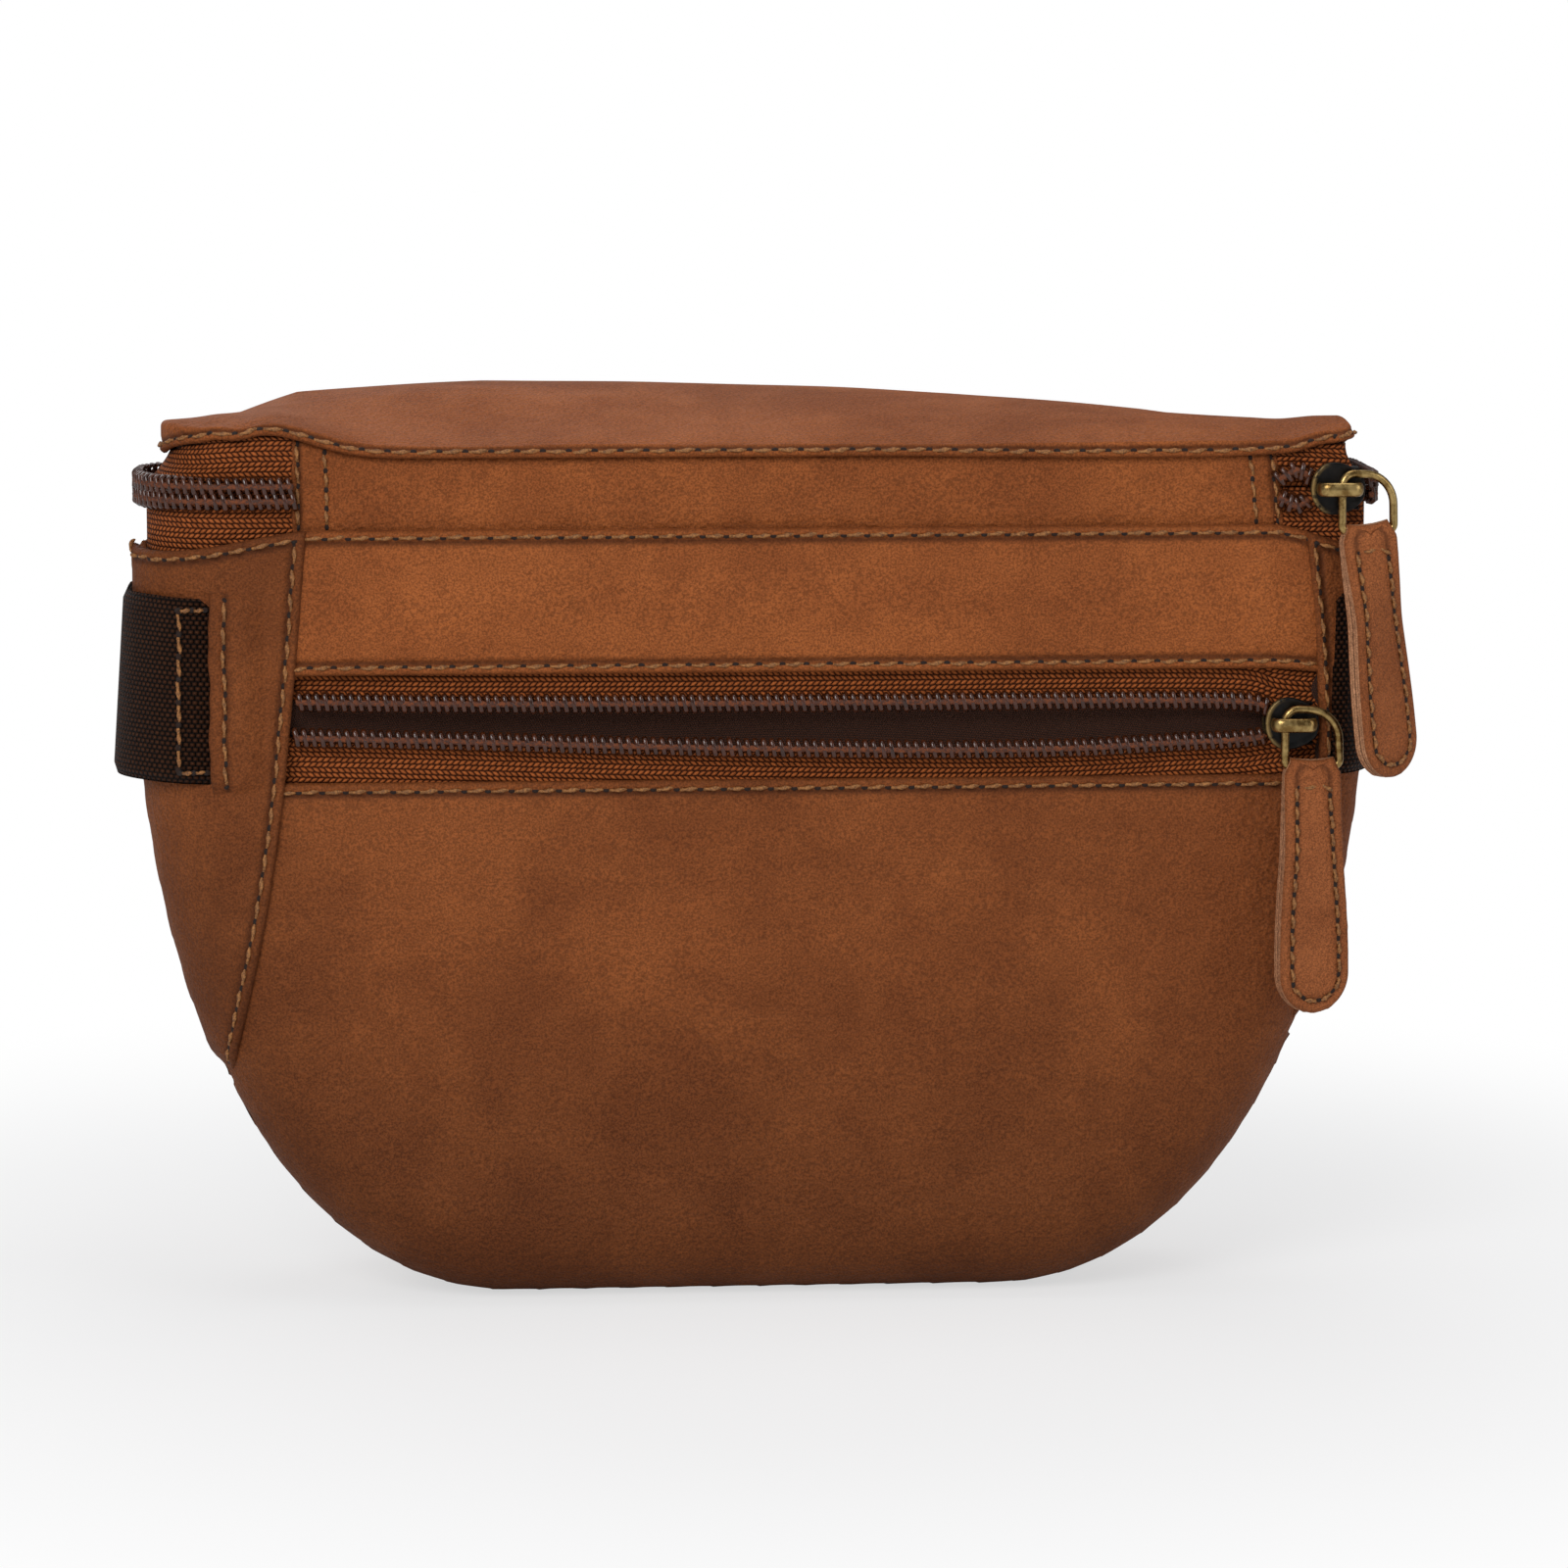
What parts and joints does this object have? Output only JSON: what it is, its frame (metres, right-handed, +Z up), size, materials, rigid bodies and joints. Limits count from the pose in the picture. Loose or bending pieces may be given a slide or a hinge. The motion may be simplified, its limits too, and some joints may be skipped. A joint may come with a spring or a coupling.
{
  "type": "waist pack",
  "caption": "Leather waist pack with a zipped hinged lid, a zipped flat pocket on its near side, leather zip pulls and a folded webbing belt with a side-release buckle",
  "frame": {"origin": "middle of the flat of the base, on the surface it stands on", "axes": "+X along the pack to the right as seen from the near side, +Y from the near side to the far side where the belt is folded, +Z up"},
  "size_m": [0.2654, 0.0941, 0.1824],
  "materials": {
    "leather_shell": "oiled nubuck, matt",
    "leather_tab": "oiled nubuck, matt",
    "lining_cloth": "plain weave",
    "zip_tape": "woven tape",
    "zip_coil": "smooth nylon",
    "antique_brass": "antique, worn",
    "webbing": "ribbed weave",
    "buckle_plastic": "fine matt"
  },
  "bodies": {
    "pack": {"near_panel_upper": "leather_shell", "near_panel_lower": "leather_shell", "wing_left": "leather_shell", "wing_right": "leather_shell", "far_panel": "leather_shell", "hinge_band": "leather_shell", "lining_main": "lining_cloth", "lining_pocket": "lining_cloth", "main_tape_body": "zip_tape", "main_tape_end_left": "zip_tape", "main_tape_end_right": "zip_tape", "pocket_tape_upper": "zip_tape", "pocket_tape_lower": "zip_tape", "main_coil_body": "zip_coil", "main_coil_end_left": "zip_coil", "main_coil_end_right": "zip_coil", "pocket_coil_upper": "zip_coil", "pocket_coil_lower": "zip_coil", "belt_left": "webbing", "belt_right": "webbing", "buckle_socket": "buckle_plastic", "buckle_plug": "buckle_plastic"},
    "lid": {"lid_panel": "leather_shell", "lid_lining": "lining_cloth", "main_tape_lid": "zip_tape", "main_coil_lid": "zip_coil"},
    "pocket_slider": {"pocket_slider": "antique_brass"},
    "pocket_ring": {"pocket_ring": "antique_brass"},
    "pocket_tab": {"pocket_tab": "leather_tab"},
    "main_slider": {"main_slider": "antique_brass"},
    "main_ring": {"main_ring": "antique_brass"},
    "main_tab": {"main_tab": "leather_tab"},
    "prong_upper": {"prong_upper": "buckle_plastic"},
    "prong_lower": {"prong_lower": "buckle_plastic"},
    "belt_keeper": {"belt_keeper": "buckle_plastic"}
  },
  "joints": [
    {"name": "lid_open", "type": "hinge", "parent": "pack", "child": "lid", "pos_m": [0, -0.034, 0.1738], "axis": [1, 0, 0], "range_deg": [0, 90], "deforming": ["hinge_band", "main_tape_end_left", "main_tape_end_right", "main_coil_end_left", "main_coil_end_right"]},
    {"name": "pocket_zip", "type": "slide", "parent": "pack", "child": "pocket_slider", "axis": [-1, 0, 0], "range_m": [0, 0.19], "deforming": ["pocket_tape_upper", "pocket_tape_lower", "pocket_coil_upper", "pocket_coil_lower"]},
    {"name": "pocket_ring_swing", "type": "hinge", "parent": "pocket_slider", "child": "pocket_ring", "pos_m": [0.1068, -0.0379, 0.119], "axis": [0, 0, 1], "range_deg": [-100, 0]},
    {"name": "pocket_tab_swing", "type": "hinge", "parent": "pocket_ring", "child": "pocket_tab", "pos_m": [0.1123, -0.0379, 0.1104], "axis": [-1, 0, 0], "range_deg": [0, 90]},
    {"name": "main_zip_turn", "type": "hinge", "parent": "pack", "child": "main_slider", "pos_m": [0.1175, -0.026, 0.1669], "axis": [0, 0, 1], "range_deg": [0, 85], "deforming": ["main_tape_body", "main_coil_body", "main_tape_end_right", "main_coil_end_right"]},
    {"name": "main_ring_swing", "type": "hinge", "parent": "main_slider", "child": "main_ring", "pos_m": [0.1178, -0.0379, 0.1669], "axis": [0, 0, 1], "range_deg": [-100, 0]},
    {"name": "main_tab_swing", "type": "hinge", "parent": "main_ring", "child": "main_tab", "pos_m": [0.1233, -0.0379, 0.1583], "axis": [-1, 0, 0], "range_deg": [0, 90]},
    {"name": "prong_upper_squeeze", "type": "hinge", "parent": "pack", "child": "prong_upper", "pos_m": [0.0075, 0.0473, 0.141], "axis": [0, -1, 0], "range_deg": [0, 9], "stiffness_Nm_per_rad": 0.6},
    {"name": "prong_lower_squeeze", "type": "hinge", "parent": "pack", "child": "prong_lower", "pos_m": [0.0075, 0.0473, 0.113], "axis": [0, 1, 0], "range_deg": [0, 9], "stiffness_Nm_per_rad": 0.6},
    {"name": "keeper_slide", "type": "slide", "parent": "pack", "child": "belt_keeper", "axis": [0.9348, -0.3551, 0], "range_m": [0, 0.006]}
  ]
}
